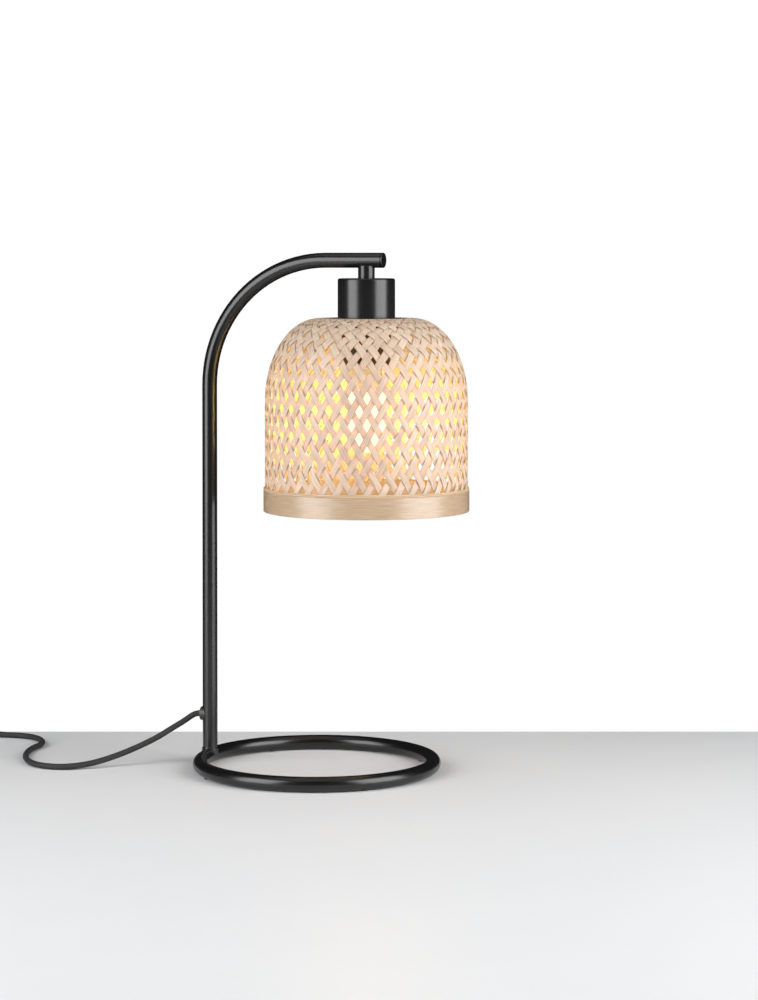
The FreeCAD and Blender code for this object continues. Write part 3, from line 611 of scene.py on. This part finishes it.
def weaveBands(name, numbers, setup):
    profile, togo, whole = bandPath(setup)
    spacing = 2 * math.pi / setup["bands"]
    table = np.array(profile)
    angles = np.array(togo)
    half = whole
    count = int(2 * half / spacing * 2 * setup["samplesPerCrossing"])
    steps = np.linspace(-half, half, count + 1)
    order = np.argsort(angles)
    verts, faces, grain = [], [], []
    across = [(-0.5, -0.28), (-0.5, 0.28), (-0.44, 0.5), (0.44, 0.5), (0.5, 0.28), (0.5, -0.28),
              (0.44, -0.5), (-0.44, -0.5)]
    for number in numbers:
        share = rng.uniform(0.95, 1.04)
        phase = rng.uniform(0, 2 * math.pi)
        sway = setup["wobble"] * rng.uniform(0.5, 1.0)
        centre = math.radians(setup["turn"]) + number * spacing
        pairSign = -1 if number % 2 else 1
        line = []
        for a in steps:
            radius, z, nr, nz = (float(np.interp(abs(a), angles[order], table[order, i])) for i in range(4))
            below = shadeTop - z
            pair = smoothStep((setup["pairFrom"] - below) / (setup["pairFrom"] - setup["pairTo"]))
            turn = centre + a + pairSign * pair * setup["pairing"] * spacing * (1 if a < 0 else -1)
            turn += sway * math.sin(phase + a * 9) / radius
            lift = liftAt(2 * a / spacing, setup)
            size = math.hypot(nr, nz)
            nr, nz = nr / size, nz / size
            normal = Vector((nr * math.cos(turn), nr * math.sin(turn), nz))
            spot = Vector((shadeX + radius * math.cos(turn), radius * math.sin(turn), z)) + normal * lift
            room = spacing * radius * math.sqrt(max(0, 1 - (pullAt(radius, setup) / radius) ** 2))
            room *= setup["room"] * (1 - 2 * setup["pairing"] * pair)
            wide = setup["width"] + (setup["crownWidth"] - setup["width"]) * pair
            line.append((spot, normal, max(setup["leastWidth"], min(wide * share, room))))
        first = len(verts)
        along = rng.uniform(0, 900)
        for i, (spot, normal, wide) in enumerate(line):
            before = line[max(i - 1, 0)][0]
            after = line[min(i + 1, len(line) - 1)][0]
            along += (spot - before).length * 1000
            heading = (after - before).normalized()
            side = heading.cross(normal).normalized()
            up = side.cross(heading)
            for x, y in across:
                verts.append(spot + side * (x * wide) + up * (y * setup["thickness"]))
                grain.append((x * setup["grainWidth"], along, number + 0.5 * (y < 0)))
        rows = len(line)
        ring = len(across)
        for i in range(rows - 1):
            for j in range(ring):
                a = first + i * ring + j
                b = first + i * ring + (j + 1) % ring
                faces.append((a, b, b + ring, a + ring))
        faces.append(tuple(first + j for j in reversed(range(ring))))
        faces.append(tuple(first + (rows - 1) * ring + j for j in range(ring)))
    obj = meshObject(name, verts, faces)
    grainAttribute(obj, grain)
    print(name, "faces", len(faces), "angle to the crown %.1f" % math.degrees(whole))
    return obj


for half in range(2):
    weave = weaveBands("wovenStrips%d" % (half + 1), range(half, weaveSetup["bands"], 2), weaveSetup)
    dress(weave, "bamboo_strip", replaced=("shade_weave",))


rimSetup = {
    "thickness": 0.00125,
    "edge": 0.0004,
    "gap": 0.0001,           # outer band to weave
    "lapAt": 118,            # degrees
    "lapLength": 26,
    "endShare": 0.18,        # thickness left at the thinned ends
    "samples": 220,
}


def rimBand(name, nodeName, innerRadius, setup):
    # one planed strip bent round and lapped over its own end, both ends thinned
    low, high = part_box(nodeName)
    lap = math.radians(setup["lapLength"])
    start = math.radians(setup["lapAt"])
    whole = 2 * math.pi + lap
    edge = setup["edge"]
    thick = setup["thickness"]
    end = setup["endShare"]
    verts, faces, grain = [], [], []
    outline = [(0, edge), (0, high.z - low.z - edge), (edge / thick, high.z - low.z),
               (1 - edge / thick, high.z - low.z), (1, high.z - low.z - edge), (1, edge),
               (1 - edge / thick, 0), (edge / thick, 0)]
    for i in range(setup["samples"] + 1):
        t = whole * i / setup["samples"]
        thin = min(1, end + t / lap, end + (whole - t) / lap)
        onTop = smoothStep((t - 2 * math.pi + lap * 0.5) / lap)
        under = min(1, end + (t - 2 * math.pi) / lap) if t > 2 * math.pi else end
        base = innerRadius + thick * under * onTop
        for share, z in outline:
            radius = base + share * thick * thin
            verts.append((shadeX + radius * math.cos(start + t), radius * math.sin(start + t), low.z + z))
            grain.append((z * 1000, t * innerRadius * 1000, share * 4))
    ring = len(outline)
    for i in range(setup["samples"]):
        for j in range(ring):
            a = i * ring + j
            b = i * ring + (j + 1) % ring
            faces.append((a, a + ring, b + ring, b))
    faces.append(tuple(range(ring)))
    faces.append(tuple(setup["samples"] * ring + j for j in reversed(range(ring))))
    obj = meshObject(name, verts, faces, smooth=False)
    grainAttribute(obj, grain)
    return obj


outerBand = rimBand("rimBandOuter", "rim_band_outer", shadeR + rimSetup["gap"], rimSetup)
dress(outerBand, "bamboo_band", replaced=("rim_band_outer",))
innerBandRadius = (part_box("rim_band_inner")[1].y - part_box("rim_band_inner")[0].y) / 2
innerBand = rimBand("rimBandInner", "rim_band_inner", innerBandRadius - 2 * rimSetup["thickness"], rimSetup)
dress(innerBand, "bamboo_band", replaced=("rim_band_inner",))
print("rim bands bent")


dress(lampCord, "cord_jacket", replaced=("lamp_cord",))
dress(plugCord, "cord_jacket", replaced=("coil_lead", "cord_coil", "plug_lead"))

tieSetup = {"thickness": 0.0007, "width": 0.008, "corner": 0.003, "cornerSteps": 6}


def coilTie(setup):
    # a flat strap round the bundle
    low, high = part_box("coil_tie")
    centre = (low + high) / 2
    halfX = (high.x - low.x) / 2
    halfZ = (high.z - low.z) / 2
    corner = setup["corner"]
    steps = setup["cornerSteps"]
    loop = []
    for cx, cz, start in ((1, 1, 0), (-1, 1, 90), (-1, -1, 180), (1, -1, 270)):
        for i in range(steps + 1):
            angle = math.radians(start + 90 / steps * i)
            loop.append((cx * (halfX - corner) + corner * math.cos(angle),
                         cz * (halfZ - corner) + corner * math.sin(angle), math.cos(angle), math.sin(angle)))
    verts, faces = [], []
    for x, z, nx, nz in loop:
        for y, inset in ((-0.5, 0), (0.5, 0), (0.5, 1), (-0.5, 1)):
            verts.append((centre.x + x - nx * inset * setup["thickness"], centre.y + y * setup["width"],
                          centre.z + z - nz * inset * setup["thickness"]))
    total = len(loop)
    for i in range(total):
        for j in range(4):
            a = i * 4 + j
            b = i * 4 + (j + 1) % 4
            c = ((i + 1) % total) * 4
            faces.append((a, b, c + (j + 1) % 4, c + j))
    return meshObject("coilTie", verts, faces, smooth=False)


tie = coilTie(tieSetup)
dress(tie, "tie_plastic", replaced=("coil_tie",))

stageSetup = {
    "floor": (0.768, 0.780, 0.795),
    "back": 0.216,           # table's back edge, behind the ring's centre
    "front": 1.0,            # its front edge, before the ring's centre
    "side": 2.5,
    "aim": 0.3,              # height the panels point at
    "skyShown": 1.0,
    "skyLight": 0.02,
    "panels": [
        # name, degrees round from the camera's side, height, distance, width, height of the panel, watts
        ("leftPanel", -56, 0.80, 1.7, 1.30, 1.6, 41),
        ("rightPanel", 62, 0.80, 1.7, 1.55, 1.6, 50),
        ("topPanel", 20, 2.6, 0.3, 2.4, 2.4, 13),
    ],
}


def makeFloor(setup):
    turn = math.radians(cameraSetup["turn"])
    right = Vector((math.cos(turn), math.sin(turn), 0))
    ahead = Vector((-math.sin(turn), math.cos(turn), 0))
    centre = Vector((ringMiddle.x, ringMiddle.y, 0))
    side, front, back = setup["side"], setup["front"], setup["back"]
    edges = ((-side, -front), (side, -front), (side, back), (-side, back))
    corners = [centre + right * x + ahead * y for x, y in edges]
    floor = meshObject("floor", corners, [(0, 1, 2, 3)])
    mat, tree, bsdf = newMaterial("tableTop")
    speckle = objectNoise(tree, 12, 2)
    shade = setup["floor"]
    tree.links.new(ramp(tree, speckle, [(0.3, tuple(c * 0.99 for c in shade)), (0.7, shade)]),
                   bsdf.inputs["Base Color"])
    bsdf.inputs["Roughness"].default_value = 0.42
    floor.data.materials.append(mat)


def makeSky(setup):
    world = bpy.data.worlds.new("studio")
    world.use_nodes = True
    tree = world.node_tree
    back = tree.nodes["Background"]
    path = node(tree, "ShaderNodeLightPath")
    span = node(tree, "ShaderNodeMapRange")
    span.inputs["To Min"].default_value = setup["skyLight"]
    span.inputs["To Max"].default_value = setup["skyShown"]
    tree.links.new(path.outputs["Is Camera Ray"], span.inputs["Value"])
    tree.links.new(span.outputs["Result"], back.inputs["Strength"])
    back.inputs["Color"].default_value = (1, 1, 1, 1)
    scene.world = world


def makePanels(setup):
    turn = cameraSetup["turn"]
    target = Vector((0, 0, setup["aim"]))
    for name, degrees, height, away, wide, tall, watts in setup["panels"]:
        angle = math.radians(turn + degrees)
        lamp = bpy.data.lights.new(name, "AREA")
        lamp.shape = "RECTANGLE"
        lamp.size = wide
        lamp.size_y = tall
        lamp.energy = watts
        obj = bpy.data.objects.new(name, lamp)
        obj.location = (target.x + away * math.sin(angle), -away * math.cos(angle), height)
        obj.rotation_euler = (target - obj.location).to_track_quat("-Z", "Y").to_euler()
        scene.collection.objects.link(obj)


def lightBulb(setup):
    # the bulb's light leaves from narrow panels just outside its diffuser
    low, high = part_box("bulb_diffuser")
    centre = (low + high) / 2
    radius = (high.x - low.x) / 2 + setup["clear"]
    sides = setup["sides"]
    for side in range(sides):
        angle = 2 * math.pi * side / sides
        lamp = bpy.data.lights.new("bulbLight%d" % side, "AREA")
        lamp.shape = "RECTANGLE"
        lamp.size = 2 * radius * math.tan(math.pi / sides)
        lamp.size_y = high.z - low.z
        lamp.energy = setup["watts"] / sides
        lamp.color = setup["light"]
        lamp.spread = math.radians(setup["spread"])
        obj = bpy.data.objects.new(lamp.name, lamp)
        outward = Vector((math.cos(angle), math.sin(angle), 0))
        obj.location = centre + outward * radius
        obj.rotation_euler = outward.to_track_quat("-Z", "Y").to_euler()
        obj.visible_camera = False
        scene.collection.objects.link(obj)


makeFloor(stageSetup)
makeSky(stageSetup)
makePanels(stageSetup)
lightBulb(bulbSetup)
scene.view_settings.view_transform = "Standard"
print("floor and light set")
